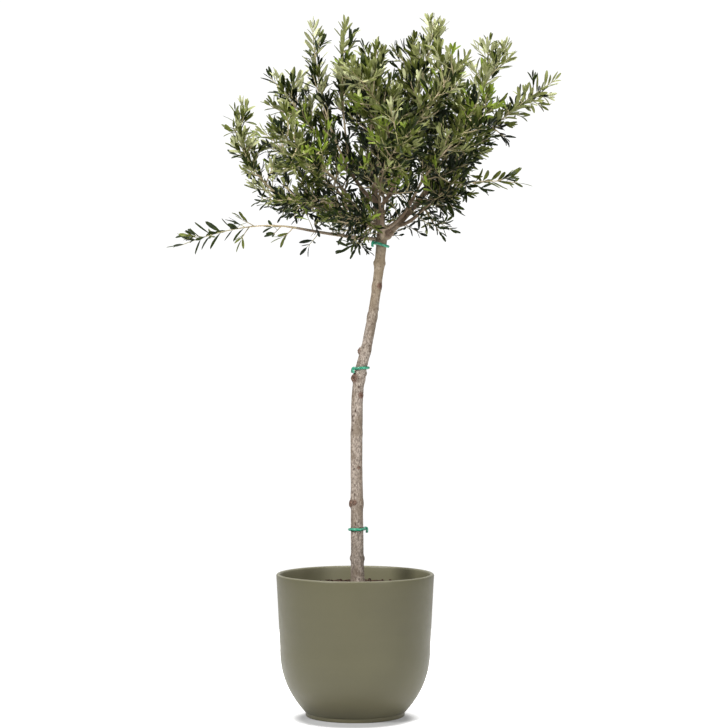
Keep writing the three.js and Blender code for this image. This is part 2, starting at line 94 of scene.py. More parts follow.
# Boughs: name, parent, share of the parent's length, heading, tip as azimuth, reach and height, radii.
BOUGHS = (
    ("leader", "trunk", 1, (-0.25, 0.1, 1), (200, 20, 1176), (10, 6.4)),
    ("right", "trunk", 0.985, (0.75, 0, 0.66), (4, 98, 1160), (8.6, 5)),
    ("left", "leader", 0.1, (-0.9, -0.1, 0.4), (183, 200, 1142), (6.6, 3.8)),
    ("front", "trunk", 0.985, (0.1, -1, 0.35), (266, 84, 1120), (6.4, 4.2)),
    ("back", "trunk", 0.98, (0.05, 1, 0.35), (88, 84, 1124), (6.6, 4.2)),
    ("low_left", "trunk", 0.985, (-1, -0.15, 0.05), (182, 190, 1080), (4.6, 3)),
    ("low_right", "right", 0.3, (1, -0.4, 0.1), (342, 104, 1130), (4.8, 3.4)),
    ("front_left", "left", 0.22, (-0.2, -1, 0.3), (228, 98, 1130), (4.8, 3.4)),
    ("front_right", "front", 0.4, (1, -0.2, 0.3), (314, 98, 1146), (4.8, 3.4)),
    ("back_left", "back", 0.5, (-1, 0.2, 0.3), (138, 98, 1138), (4.6, 3.4)),
    ("back_right", "back", 0.4, (1, 0.2, 0.35), (42, 102, 1140), (4.8, 3.4)),
    ("upper_left", "leader", 0.62, (-1, 0, 0.8), (184, 76, 1214), (5.2, 3.6)),
    ("upper_right", "leader", 0.5, (0.9, 0.3, 0.8), (20, 44, 1220), (5.2, 3.6)),
    ("upper_front", "leader", 0.8, (0.1, -1, 0.6), (276, 52, 1218), (4.8, 3.4)),
    ("upper_back", "leader", 0.75, (-0.1, 1, 0.6), (100, 54, 1222), (4.8, 3.4)),
)
# Masses: name, bough, share of the bough's length, tip, longest side twig, side twigs, bare share, lift.
MASSES = (
    ("top", "leader", 1, (262, 60, 1498), 90, 3, 0.3, 0.9),
    ("top_left", "upper_left", 1, (178, 156, 1551), 88, 3, 0.2, 1.0),
    ("top_middle", "upper_left", 0.78, (150, 92, 1556), 72, 3, 0.35, 1.0),
    ("top_right", "upper_right", 1, (10, 121, 1560), 84, 3, 0.2, 1.0),
    ("top_back", "upper_right", 0.72, (58, 132, 1530), 90, 3, 0.3, 1.0),
    ("upper_front", "upper_front", 1, (250, 232, 1412), 108, 3, 0.15, 0.8),
    ("upper_front_right", "upper_front", 0.45, (320, 252, 1452), 110, 3, 0.2, 0.8),
    ("upper_back", "upper_back", 1, (112, 240, 1440), 120, 3, 0.15, 0.8),
    ("upper_back_right", "upper_right", 0.45, (42, 262, 1450), 115, 3, 0.2, 0.8),
    ("right_upper", "right", 0.72, (5, 284, 1506), 110, 3, 0.12, 0.9),
    ("far_right", "right", 1, (1, 400, 1420), 62, 3, 0.22, 0.05),
    ("left_upper", "upper_left", 0.5, (172, 266, 1434), 115, 3, 0.15, 0.8),
    ("left_side", "left", 1, (182, 328, 1358), 76, 3, 0.15, 0.6),
    ("front", "front", 1, (284, 300, 1284), 120, 3, 0.1, 0.6),
    ("front_left", "front_left", 1, (220, 330, 1290), 120, 3, 0.1, 0.5),
    ("front_right", "front_right", 1, (338, 298, 1362), 115, 3, 0.1, 0.5),
    ("back", "back", 1, (92, 306, 1296), 120, 3, 0.1, 0.6),
    ("back_left", "back_left", 1, (148, 328, 1286), 120, 3, 0.1, 0.5),
    ("back_right", "back_right", 1, (40, 302, 1352), 115, 3, 0.1, 0.5),
    ("low_front", "front", 0.72, (242, 218, 1066), 90, 3, 0.1, 0.1),
    ("low_front_right", "low_right", 0.66, (318, 226, 1188), 90, 3, 0.1, 0.0),
    ("low_back", "back", 0.72, (118, 236, 1090), 95, 3, 0.1, 0.1),
    ("low_back_right", "back_right", 0.72, (36, 240, 1188), 90, 3, 0.1, 0.0),
    ("low_back_left", "back_left", 0.72, (160, 284, 1130), 95, 3, 0.1, 0.1),
    ("low_front_left", "front_left", 0.72, (203, 288, 1132), 95, 3, 0.1, 0.1),
    ("low_right", "low_right", 1, (357, 320, 1176), 44, 3, 0.1, 0),
    ("low_left", "low_left", 1, (183, 466, 1032), 46, 3, 0.02, -0.2),
)
STEM_RADII, STEM_STEPS, STEM_SHORT = (3.2, 1.0), 8, 22
TWIG_RADII, TWIG_STEPS, TWIG_SWAY, DIVERGENCE = (2.0, 0.9), 4, 0.16, (34, 60)
MARGIN, LEAST_SHARE = 3, 0.45

LIMB_STEPS = 12
CLEAR_OF_LIMBS = 0.6  # between a twig and a limb

# ---- What the solids leave out ----

CRUMBS, CRUMBS_FROM = 260, 26  # on the soil: how many are dealt out, and how near the middle they lie

# Small burls on the trunk: height, azimuth and size, and how far out of the bark.
BURLS = (
    (470, 248, 7), (548, 292, 4.5), (412, 300, 4), (600, 40, 4), (660, 130, 5), (540, 100, 5), (900, 20, 5),
)
BURL_OUT = 0.84
# Low swellings that run round the trunk at its old nodes: height and rise.
SWELLINGS = (
    (469, 1.7), (346, 0.9), (746, 1.8), (806, 1.0), (882, 1.2), (950, 1.6), (1001, 1.4), (626, 0.8),
)
# Swollen collars where the boughs part, as places and radii.
COLLARS = (((71, -6, 1064), 10.5), ((76, -6, 1071), 11), ((63, 1, 1069), 12.5))
FORK_SCAR, FORK_SCAR_SIZE = np.array((TRUNK_FORK[0] + 14, TRUNK_FORK[1] - 14, TRUNK_FORK[2] + 3)), 13
BARK_VOXEL = 1.3

# How side twigs leave a stem, as in the solids: the last share of its length, their scatter between even
# places, how far ahead in the spiral they start, their spin, how much shorter they get towards its tip,
# the least share of their length and what luck adds, their lean, thickness, spare room and sway.
TWIG_RULE = dict(
    last=0.96, scatter=0.6, ahead=0, spin=50, taper=0.5, least=0.75, luck=0.45,
    lean=DIVERGENCE, radius=TWIG_RADII[0], margin=MARGIN, sway=TWIG_SWAY,
)
# Further side twigs on a stem, which may reach out of their mass's own space, and are more wayward.
MORE_RULE = dict(
    last=0.9, scatter=0.8, ahead=0.5, spin=60, taper=0.5, least=0.6, luck=0.45,
    lean=(38, 84), radius=TWIG_RADII[0], margin=-14, sway=0.26,
)
# The usual number, at the mass's own lift, and the number and lift on these.
MORE_TWIGS = 8
MORE_ON = dict(
    far_right=(12, 0.55), right_upper=(12, 0.15), front=(12, 0.3), front_left=(10, 0.3), left_side=(10, 0.3),
    low_right=(5, -0.5), upper_front=(9, 0.6), low_left=(3, 0), top_left=(5, 1.0), top_middle=(5, 1.0),
    top=(6, 0.9),
)
NARROW = dict(top_left=0.62, top_middle=0.58)  # slim single shoots: their side twigs as a share of the usual

# Shoots along a stem or a side twig, thinner on some masses.
FINE_SPACING, FINE_RADII, FINE_SHORTEST = 13, (1.2, 0.6), 16
FINE_RULE = dict(
    last=0.88, scatter=0.8, ahead=0, spin=60, taper=0.6, least=0.6, luck=0.55,
    lean=(26, 76), radius=FINE_RADII[0], margin=-20, sway=0.28,
)
SPARSE = dict(
    low_left=0.3, low_right=0.28, top_left=0.66, top_middle=0.66, top=0.8, top_right=0.8, top_back=0.8,
    left_upper=0.85,
)

# Short shoots on a bough: the usual spacing and lift, and these.
SPUR_SPACING, SPUR_LIFT = 34, 0.35
SPURS_ON = dict(right=(13, -0.2), low_right=(15, -0.2), front=(26, 0.35), front_right=(18, -0.1))

OVER_SPUR, OVER_LEAF = 400, 34  # how far a spur and a leaf may reach out of their mass's own space
REACH = 14  # how far a leaf may pass the solids' own box

LEAF_LENGTH, LEAF_WIDTH, LEAF_THICKNESS = 40, 9, 0.6
LEAF_ROWS = ((0.12, 0.3), (0.36, 0.88), (0.66, 1.0), (0.9, 0.62))  # share of the length, share of the width
LEAF_MIDDLE = 10  # the third row's upper rib, counted from the root
NODE_SPACING = 9.5  # between opposite pairs of leaves
BARE_SHARES = (0.42, 0.36, 0.28)  # without leaves, of a stem, a side twig and a shoot
# The low sprays' leaves: their size as a share of the usual, and the spacing of the pairs.
LOW_SPRAYS = dict(low_left=(1.45, 12.5), low_right=(1.6, 16))

# Leaf tones, which are partly the leaves' own range of colour and partly painted light and shade: the darker
# ones are dealt where the crown is shaded, the paler ones where it is lit, and young is the fresh growth's
# own colour. Each is a name, then the upper side and the underside as light and dark.
TONES = (
    ("shade", (20, 30, 10), (12, 18, 5), (72, 80, 50), (56, 64, 38)),
    ("deep", (44, 54, 17), (27, 37, 10), (110, 118, 80), (88, 96, 60)),
    ("olive", (95, 102, 46), (70, 77, 30), (154, 160, 120), (128, 134, 94)),
    ("grey", (138, 143, 92), (112, 116, 68), (190, 194, 162), (162, 168, 134)),
    ("silver", (176, 179, 136), (152, 155, 112), (212, 214, 190), (190, 194, 166)),
    ("young", (128, 144, 56), (102, 120, 38), (168, 178, 106), (146, 158, 84)),
)
TONE_STEPS, YOUNG = (-0.17, 0.11, 0.36, 0.6), 5
# painted light and shade: how much paler or darker the sprays of some masses are dealt
PALER = dict(
    left_side=0.2, left_upper=0.05, far_right=-0.32, top_left=-0.16, top_middle=-0.16, top_right=-0.12,
)
# the heart of the crown and its size, from which the sprays' painted shade and light are dealt
CROWN_HEART, CROWN_SIZE = (*CROWN, 1230), 330
YOUNG_PATCH, YOUNG_PATCH_SIZE, YOUNG_ABOVE = (-45, -190, 1290), 105, 1090  # where most young sprays are


# ---- Paths, as in the solids ----


def chance(seed):
    """A row of seeded random draws from 0 to 1."""
    state = seed & 0xFFFFFFFF

    def draw():
        nonlocal state
        state = (state + 0x6D2B79F5) & 0xFFFFFFFF
        mixed = ((state ^ (state >> 15)) * (state | 1)) & 0xFFFFFFFF
        mixed ^= (mixed + (((mixed ^ (mixed >> 7)) * (mixed | 61)) & 0xFFFFFFFF)) & 0xFFFFFFFF
        return ((mixed ^ (mixed >> 14)) & 0xFFFFFFFF) / 4294967296

    return draw


def between(pair, share):
    return pair[0] + (pair[1] - pair[0]) * share


def unit(vector):
    return vector / max(np.linalg.norm(vector), 1e-9)


def in_crown(tip):
    """A place in the crown from its azimuth, reach and height."""
    azimuth, reach, height = tip
    turn = math.radians(azimuth)
    return np.array((CROWN[0] + reach * math.cos(turn), CROWN[1] + reach * math.sin(turn), height))


def sideways(heading, angle):
    """A unit vector square to a heading, turned about it by an angle in degrees."""
    reference = np.array((1.0, 0, 0)) if abs(heading[2]) > 0.97 else UP
    across = unit(np.cross(heading, reference))
    turn = math.radians(angle)
    return across * math.cos(turn) + np.cross(heading, across) * math.sin(turn)


def leant(heading, side, angle):
    """A heading leant to one side by an angle in degrees."""
    lean = math.radians(angle)
    return unit(heading * math.cos(lean) + side * math.sin(lean))


def length_of(path):
    return float(np.linalg.norm(np.diff(path, axis=0), axis=1).sum())


def along(path, share):
    """A place at a share of a path's length, and the heading there."""
    steps = np.linalg.norm(np.diff(path, axis=0), axis=1)
    left = share * steps.sum()
    i = 0
    while i < len(steps) - 1 and left > steps[i]:
        left -= steps[i]
        i += 1
    heading = unit(path[i + 1] - path[i])
    return path[i] + heading * left, heading


def evenly(path, count):
    """A path as evenly spaced points."""
    return np.array([along(path, i / count)[0] for i in range(count + 1)])


def bent_path(start, heading, end, steps):
    """A simple curve that leaves its start by a heading."""
    knee = start + heading * np.linalg.norm(end - start) * 0.42
    shares = np.linspace(0, 1, steps + 1)[:, None]
    return start * (1 - shares) ** 2 + 2 * knee * shares * (1 - shares) + end * shares**2


def smooth_path(points, count):
    """A centripetal curve through a few points, as evenly spaced points."""
    p = np.array(points, float)
    p = np.vstack([2 * p[0] - p[1], p, 2 * p[-1] - p[-2]])
    fine = []
    for first in range(len(p) - 3):
        four = p[first : first + 4]
        times = [0]
        for near, far in zip(four, four[1:]):
            times.append(times[-1] + np.linalg.norm(far - near) ** 0.5)
        for t in np.linspace(times[1], times[2], 12, endpoint=False):
            row = four
            for spans in (((0, 1), (1, 2), (2, 3)), ((0, 2), (1, 3)), ((1, 2),)):
                row = [
                    row[i] * (times[b] - t) / (times[b] - times[a])
                    + row[i + 1] * (t - times[a]) / (times[b] - times[a])
                    for i, (a, b) in enumerate(spans)
                ]
            fine.append(row[0])
    fine.append(p[-2])
    return evenly(np.array(fine), count)


def twig_path(start, heading, length, lift, draw, sway=TWIG_SWAY):
    """A path that sways at each step and lifts or droops."""
    direction = heading.copy()
    path = [start]
    for _ in range(TWIG_STEPS):
        direction = direction + (np.array((draw(), draw(), draw())) - 0.5) * 2 * sway
        direction = unit(direction + UP * lift / TWIG_STEPS)
        path.append(path[-1] + direction * length / TWIG_STEPS)
    return np.array(path)


def trunk_path():
    foot_z = SOIL_TOP - 4
    (bx, by, bz), (fx, fy, fz) = TRUNK_BEND, TRUNK_FORK

    def lean(share, height):
        return (bx + (fx - bx) * share, by + (fy - by) * share, height)

    return (
        (TRUNK_FOOT[0], TRUNK_FOOT[1], foot_z),
        (TRUNK_FOOT[0] - 1.5, 2.5, between((foot_z, bz), 0.35)),
        (TRUNK_FOOT[0] - 2.2, 3.5, between((foot_z, bz), 0.75)),
        TRUNK_BEND,
        lean(0.34, bz + 78),
        lean(0.74, bz + 196),
        TRUNK_FORK,
    )


def trunk_radius(share):
    flare = (FLARE - FOOT_RADIUS) * math.exp(-share * 42)
    if share < 0.6:
        return flare + between((FOOT_RADIUS, MID_RADIUS), share / 0.6)
    if share < 0.85:
        return flare + between((MID_RADIUS, NECK_RADIUS), (share - 0.6) / 0.25)
    return flare + between((NECK_RADIUS, FORK_RADIUS), (share - 0.85) / 0.15)


trunk_line = smooth_path(trunk_path(), 64)


def trunk_at(height):
    """The trunk's middle, radius and heading at a height."""
    share = float(np.interp(height, trunk_line[:, 2], np.linspace(0, 1, len(trunk_line))))
    at, heading = along(trunk_line, share)
    return at, trunk_radius(share), heading


# Every limb: its path, and its radius as a function of the share of its length.
limbs = {"trunk": (evenly(trunk_line, LIMB_STEPS), trunk_radius)}
for name, parent, share, start, tip, radii in BOUGHS:
    foot = along(limbs[parent][0], share)[0]
    path = bent_path(foot, unit(np.array(start, float)), in_crown(tip), LIMB_STEPS)
    limbs[name] = (path, lambda share, radii=radii: between(radii, share))

stems = {}
for name, bough, share, tip, *_ in MASSES:
    at, heading = along(limbs[bough][0], share)
    toward = unit(in_crown(tip) - at)
    leaving = unit(heading + (toward - heading) * (0.6 if share < 1 else 0))
    whole = bent_path(at, leaving, in_crown(tip), 2 * STEM_STEPS)
    kept = 1 - STEM_SHORT / length_of(whole)
    stems[name] = np.array([along(whole, kept * i / STEM_STEPS)[0] for i in range(STEM_STEPS + 1)])

STEM_A = np.vstack([path[:-1] for path in stems.values()])
STEM_B = np.vstack([path[1:] for path in stems.values()])
LIMB_A = np.vstack([path[:-1] for path, _ in limbs.values()])
LIMB_B = np.vstack([path[1:] for path, _ in limbs.values()])
LIMB_RADII = np.concatenate(
    [[radius_at(i / LIMB_STEPS) for i in range(LIMB_STEPS)] for _, radius_at in limbs.values()]
)


def distances(points, starts, ends):
    """How far each point is from each straight piece."""
    span = ends - starts
    rel = points[:, None, :] - starts[None]
    share = np.clip((rel * span).sum(2) / (span * span).sum(1), 0, 1)
    return np.linalg.norm(rel - share[..., None] * span, axis=2)


def have_room(points, room, mass, margin):
    """Which points lie nearer to their own mass's stem than to any other, by a margin, and off every limb."""
    to_stems = distances(points, STEM_A, STEM_B).reshape(len(points), len(stems), STEM_STEPS).min(2)
    own = to_stems[:, mass].copy()
    to_stems[:, mass] = 1e9
    clear = (distances(points, LIMB_A, LIMB_B) - LIMB_RADII > room + CLEAR_OF_LIMBS).all(1)
    return (to_stems.min(1) > own + margin + 2 * room) & clear


def grown(path, radius, mass, margin, first=2):
    """A twig's path as far as it has room, or None if it is cut too short."""
    parts, kept = 16, 5
    points = np.array([along(path, i / parts)[0] for i in range(first, parts + 1)])
    room = have_room(points, radius, mass, margin)
    share = 1 if room.all() else (first - 1 + int(np.argmin(room))) / parts
    if share < LEAST_SHARE:
        return None
    return np.array([along(path, share * i / kept)[0] for i in range(kept + 1)])


# ---- Finishes ----


def linear(color):
    """A colour in light from its screen values, if it is given as those."""
    if isinstance(color, Wire) or len(color) == 4:
        return color
    values = [value / 255 for value in color]
    return (*[v / 12.92 if v <= 0.04045 else ((v + 0.055) / 1.055) ** 2.4 for v in values], 1)


def sums(operation, reflected=False):
    """A method that adds one Math node."""

    def method(self, other):
        pair = (other, self) if reflected else (self, other)
        return self.finish.node("Math", dict(operation=operation), dict(enumerate(pair)))

    return method


class Wire:
    """A node's output, which can be added, taken away and multiplied."""

    def __init__(self, finish, socket):
        self.finish, self.socket = finish, socket

    __add__, __radd__ = sums("ADD"), sums("ADD", True)
    __sub__, __rsub__ = sums("SUBTRACT"), sums("SUBTRACT", True)
    __mul__, __rmul__ = sums("MULTIPLY"), sums("MULTIPLY", True)


class Finish:
    """A material with the nodes behind its principled shader."""

    def __init__(self, name, **fixed):
        self.material = bpy.data.materials.new(name)
        self.material.use_nodes = True
        self.tree = self.material.node_tree
        self.surface = self.tree.nodes["Principled BSDF"]
        for socket, value in fixed.items():
            self.surface.inputs[socket.replace("_", " ")].default_value = value

    def node(self, kind, settings=None, inputs=None, output=0):
        """Adds a node, sets it, and joins or fills its inputs."""
        made = self.tree.nodes.new("ShaderNode" + kind)
        for key, value in (settings or {}).items():
            setattr(made, key, value)
        for key, value in (inputs or {}).items():
            if isinstance(value, Wire):
                self.tree.links.new(value.socket, made.inputs[key])
            else:
                made.inputs[key].default_value = value
        return Wire(self, made.outputs[output])

    def place(self, stretch=(1, 1, 1)):
        """Object coordinates, stretched."""
        here = self.node("TexCoord", output="Object")
        return self.node("Mapping", None, {"Vector": here, "Scale": stretch})

    def noise(self, scale, detail=4, roughness=0.55, stretch=(1, 1, 1)):
        inputs = {"Vector": self.place(stretch), "Scale": scale, "Detail": detail, "Roughness": roughness}
        return self.node("TexNoise", None, inputs)

    def height(self):
        return self.node("SeparateXYZ", None, {0: self.place()}, "Z")

    def distance(self, centre, stretch=(1, 1, 1)):
        inputs = {0: self.place(stretch), 1: centre}
        return self.node("VectorMath", dict(operation="DISTANCE"), inputs, "Value")

    def cells(self, scale, stretch=(1, 1, 1)):
        return self.node("TexVoronoi", None, {"Vector": self.place(stretch), "Scale": scale}, "Distance")

    def steps(self, value, low, high):
        """0 below low, 1 above high, smooth between."""
        inputs = {"Value": value, "From Min": low, "From Max": high}
        return self.node("MapRange", dict(interpolation_type="SMOOTHSTEP"), inputs, "Result")

    def mix(self, factor, first, second):
        return self.node("Mix", dict(data_type="RGBA"), {0: factor, 6: linear(first), 7: linear(second)}, 2)

    def made_of(self, **wires):
        """Feeds the surface, with the relief as height, strength and distance, and gives the material."""
        relief = wires.pop("Relief", None)
        if relief:
            inputs = dict(zip(("Height", "Strength", "Distance"), relief))
            wires["Normal"] = self.node("Bump", None, inputs)
        for socket, wire in wires.items():
            self.tree.links.new(wire.socket, self.surface.inputs[socket.replace("_", " ")])
        return self.material


def glaze_finish():
    """Matte khaki-grey glaze: a faint mottle, fine speckles, and soft turning rings in the relief."""
    glaze = Finish("khaki_glaze", Roughness=0.5, Coat_Weight=0.08, Coat_Roughness=0.3, Specular_IOR_Level=0.3)
    cloud = glaze.noise(7, 5, 0.6)
    rings = glaze.noise(26, 3, 0.5, (0.02, 0.02, 1))
    specks = glaze.steps(glaze.cells(420), 0.2, 0.05) * glaze.steps(glaze.noise(90, 2), 0.54, 0.66)
    height = glaze.height()
    from_axis = glaze.distance((0, 0, 0), (1, 1, 0))
    tone = glaze.mix(glaze.steps(cloud, 0.25, 0.75), (72, 69, 49), (75, 72, 51))
    tone = glaze.mix(glaze.steps(rings, 0.4, 0.75) * 0.2, tone, (82, 79, 57))
    # painted light: paler on the inner wall, against the shade that the trunk and rim cast there; a painted
    # highlight along the lip's crest; and paler towards the foot, standing in for light thrown up from the
    # floor
    inside = glaze.steps(from_axis, 0.1695, 0.1665) * glaze.steps(height, 0.278, 0.284)
    tone = glaze.mix(inside, tone, (103, 100, 77))
    # painted highlight along the lip's crest
    tone = glaze.mix(glaze.steps(height, 0.3118, 0.3142), tone, (118, 115, 94))
    # painted light: paler towards the foot, for the floor's bounce
    tone = glaze.mix(glaze.steps(height, 0.09, 0.0) * 0.5, tone, (94, 90, 69))
    tone = glaze.mix(specks * 0.5, tone, (70, 65, 46))
    relief = rings * 0.5 + glaze.noise(260, 3) * 0.12 + cloud * 0.3
    rough = glaze.noise(60, 3) * 0.16 + 0.42
    return glaze.made_of(Base_Color=tone, Roughness=rough, Relief=(relief, 0.35, 0.0009))


def soil_finish():
    soil = Finish("potting_soil", Roughness=0.95, Specular_IOR_Level=0.15)
    grain = soil.noise(160, 6, 0.7)
    fibre = soil.noise(60, 4, 0.6, (1, 0.2, 1))
    tone = soil.mix(soil.steps(grain, 0.35, 0.7), (34, 25, 20), (86, 66, 52))
    tone = soil.mix(soil.steps(fibre, 0.6, 0.72) * 0.6, tone, (120, 94, 70))
    return soil.made_of(
        Base_Color=tone, Roughness=grain * 0.2 + 0.8, Relief=(grain + fibre * 0.5, 0.8, 0.002)
    )


def bark_finish(name, light, dark, fleck, patch):
    """Pale bark: fine grain along the limb, small brown flecks, and darker patches."""
    bark = Finish(name, Roughness=0.85, Specular_IOR_Level=0.15)
    grain = bark.noise(240, 5, 0.62, (1, 1, 0.35))
    patches = bark.noise(26, 4, 0.62, (1, 1, 0.7))
    fine = bark.steps(bark.cells(300, (1, 1, 0.8)), 0.3, 0.14) * bark.steps(bark.noise(120, 2), 0.42, 0.56)
    large = bark.steps(bark.cells(95, (1, 1, 0.8)), 0.24, 0.12) * bark.steps(bark.noise(48, 2), 0.56, 0.62)
    tone = bark.mix(bark.steps(grain, 0.3, 0.7), dark, light)
    tone = bark.mix(bark.steps(patches, 0.5, 0.72) * 0.55, tone, patch)
    # painted shade: darker and browner towards the heart of the crown, where the leaves shade the twigs
    off = bark.distance((0.06, 0, 1.16))
    tone = bark.mix(bark.steps(off, 0.26, 0.08) * 0.8, tone, (92, 76, 60))
    # younger and greener at the furthest tips
    tone = bark.mix(bark.steps(off, 0.27, 0.4) * 0.75, tone, (142, 142, 106))
    tone = bark.mix(fine * 0.6, bark.mix(large * 0.7, tone, fleck), fleck)
    relief = grain * 0.6 + patches * 0.5 - fine * 0.4 - large * 0.6
    return bark.made_of(Base_Color=tone, Roughness=grain * 0.2 + 0.72, Relief=(relief, 0.6, 0.0011))


def trunk_finish():
    """Olive bark: pinkish grey below and greener under the crown, with painted shade making the boughs above
    the fork dark brown, darker and redder round its scars.
    """
    bark = Finish("olive_bark", Roughness=0.85, Specular_IOR_Level=0.15)
    grain = bark.noise(300, 5, 0.66, (1, 1, 0.55))
    patches = bark.noise(27, 5, 0.68, (1, 1, 0.7))
    ragged = bark.noise(700, 3, 0.6) - 0.5
    height = bark.height()
    fine = bark.steps(bark.cells(270, (1, 1, 0.6)) + ragged * 0.5, 0.34, 0.16)
    large = bark.steps(bark.cells(95, (1, 1, 0.62)) + ragged * 0.3, 0.28, 0.14)
    pitted = bark.steps(height, 0.38, 0.44) * (1 - bark.steps(height, 0.8, 0.9) * 0.5)
    fine = fine * bark.steps(bark.noise(110, 3), 0.44, 0.6) * (pitted * 0.6 + 0.4)
    large = large * bark.steps(bark.noise(44, 3), 0.44, 0.54) * pitted
    old = bark.node("Attribute", dict(attribute_name="scar"), None, "Fac")
    tone = bark.mix(bark.steps(grain, 0.32, 0.68), (96, 85, 76), (172, 160, 148))
    tone = bark.mix(bark.steps(patches, 0.44, 0.6) * 0.7, tone, (108, 95, 80))
    tone = bark.mix(bark.steps(height, 0.84, 1.0) * 0.45, tone, (146, 130, 102))
    # painted shade: the boughs above the fork dark brown, where the crown shades them
    tone = bark.mix(bark.steps(height, 1.05, 1.11) * 0.85, tone, (90, 73, 58))
    tone = bark.mix(fine * 0.75, bark.mix(large * 0.85, tone, (56, 38, 28)), (72, 54, 42))
    scarred = bark.mix(bark.steps(bark.noise(420, 3), 0.35, 0.65), (52, 34, 26), (122, 96, 82))
    tone = bark.mix(bark.steps(old + grain * 0.3, 0.3, 0.9) * 0.9, tone, scarred)
    relief = grain * 0.7 + patches * 0.5 - fine * 0.5 - large * 0.8
    return bark.made_of(Base_Color=tone, Roughness=grain * 0.2 + 0.72, Relief=(relief, 0.75, 0.0014))


def cut_finish():
    """A pruned stub's weathered brown end."""
    cut = Finish("pruned_wood", Roughness=0.8, Specular_IOR_Level=0.15)
    grain = cut.noise(300, 4, 0.6)
    tone = cut.mix(cut.steps(grain, 0.35, 0.65), (52, 34, 26), (104, 76, 60))
    return cut.made_of(Base_Color=tone, Relief=(grain, 0.6, 0.001))


def tie_finish():
    tie = Finish("green_tube", Roughness=0.38, Coat_Weight=0.25, Coat_Roughness=0.2)
    cloud = tie.noise(90, 3)
    tone = tie.mix(tie.steps(cloud, 0.35, 0.65), (10, 112, 84), (24, 140, 106))
    return tie.made_of(
        Base_Color=tone, Roughness=cloud * 0.2 + 0.3, Relief=(tie.noise(700, 2), 0.25, 0.0004)
    )


def leaf_finish(name, light, dark, roughness, gloss):
    """One plain leaf colour with a slight mottle and a fine grain in the relief."""
    leaf = Finish(name, Roughness=roughness, Specular_IOR_Level=gloss)
    mottle = leaf.noise(55, 3, 0.5)
    tone = leaf.mix(leaf.steps(mottle, 0.35, 0.65), dark, light)
    rough = mottle * 0.16 + (roughness - 0.08)
    return leaf.made_of(Base_Color=tone, Roughness=rough, Relief=(leaf.noise(900, 2), 0.2, 0.0003))


# ---- Modelling helpers ----


def deselect():
    """Clears the selection, because an operator acts on all that is selected."""
    bpy.ops.object.select_all(action="DESELECT")


def only(piece):
    """Selects a piece alone."""
    deselect()
    piece.select_set(True)
    bpy.context.view_layer.objects.active = piece


def settled(piece, name):
    """Gives a finished piece its name, and moves its place into its mesh."""
    only(piece)
    bpy.ops.object.transform_apply(location=True, rotation=True, scale=True)
    piece.name = piece.data.name = name
    return piece


def joined(parts, name):
    """Makes one piece of several."""
    deselect()
    for part in parts:
        part.select_set(True)
    bpy.context.view_layer.objects.active = parts[0]
    if len(parts) > 1:
        bpy.ops.object.join()
    return settled(parts[0], name)


def modify(piece, kind, **settings):
    only(piece)
    modifier = piece.modifiers.new(kind.title(), kind)
    for key, value in settings.items():
        setattr(modifier, key, value)
    bpy.ops.object.modifier_apply(modifier=modifier.name)


def smooth(piece, degrees=40):
    only(piece)
    bpy.ops.object.shade_smooth_by_angle(angle=math.radians(degrees))


def turned(name, rows, sides):
    """A closed turned form: a disc extruded ring by ring, from rows of radius and height in millimetres."""
    radius, height = rows[0]
    deselect()
    bpy.ops.mesh.primitive_circle_add(
        vertices=sides, radius=radius * MM, fill_type="NGON", location=(0, 0, height * MM)
    )
    piece = bpy.context.object
    bpy.ops.object.transform_apply(location=True, rotation=False, scale=False)
    bpy.ops.object.mode_set(mode="EDIT")
    bpy.ops.mesh.select_all(action="SELECT")
    for next_radius, next_height in rows[1:]:
        rise = (next_height - height) * MM
        bpy.ops.mesh.extrude_region_move(TRANSFORM_OT_translate={"value": (0, 0, rise)})
        ratio = next_radius / radius
        bpy.ops.transform.resize(value=(ratio, ratio, 1), center_override=(0, 0, next_height * MM))
        radius, height = next_radius, next_height
    bpy.ops.mesh.select_all(action="SELECT")
    bpy.ops.mesh.normals_make_consistent(inside=False)
    bpy.ops.object.mode_set(mode="OBJECT")
    return settled(piece, name)


def tube(path, radii, resolution=4):
    """A round tapering tube along a path in millimetres, drawn as a curve and made a mesh."""
    drawn = bpy.data.curves.new("limb", "CURVE")
    drawn.dimensions = "3D"
    drawn.bevel_depth = MM
    drawn.bevel_resolution = resolution
    drawn.use_fill_caps = True
    line = drawn.splines.new("POLY")
    line.points.add(len(path) - 1)
    for point, at, radius in zip(line.points, path, radii):
        point.co = (*(np.array(at) * MM), 1)
        point.radius = radius
    piece = bpy.data.objects.new("limb", drawn)
    scene.collection.objects.link(piece)
    only(piece)
    bpy.ops.object.convert(target="MESH")
    return bpy.context.object


def mesh_piece(name, points, faces, kinds=None):
    """A joined mesh from arrays: points in millimetres, and a material number for each face."""
    mesh = bpy.data.meshes.new(name)
    mesh.from_pydata((np.asarray(points) * MM).tolist(), [], faces)
    if kinds is not None:
        mesh.polygons.foreach_set("material_index", np.asarray(kinds, dtype=np.int32))
    mesh.update()
    piece = bpy.data.objects.new(name, mesh)
    scene.collection.objects.link(piece)
    return piece


def ball(centre, radius, segments=16, rings=10):
    """A round lump, in millimetres, that is run into the bark's skin."""
    deselect()
    bpy.ops.mesh.primitive_uv_sphere_add(
        segments=segments, ring_count=rings, radius=radius * MM, location=np.array(centre) * MM
    )
    return bpy.context.object


def of_vertices(mesh, key):
    """A vector of each vertex, as rows."""
    values = np.empty(3 * len(mesh.vertices))
    mesh.vertices.foreach_get(key, values)
    return values.reshape(-1, 3)


def dress(piece, slot, nodes, *materials):
    """Gives a piece its materials and the nodes that it stands for; the slot is not used."""
    piece.data.materials.clear()
    for material in materials:
        piece.data.materials.append(material)
    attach(piece, "root")
    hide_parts(*nodes)
    return piece


# ---- Pot and soil ----


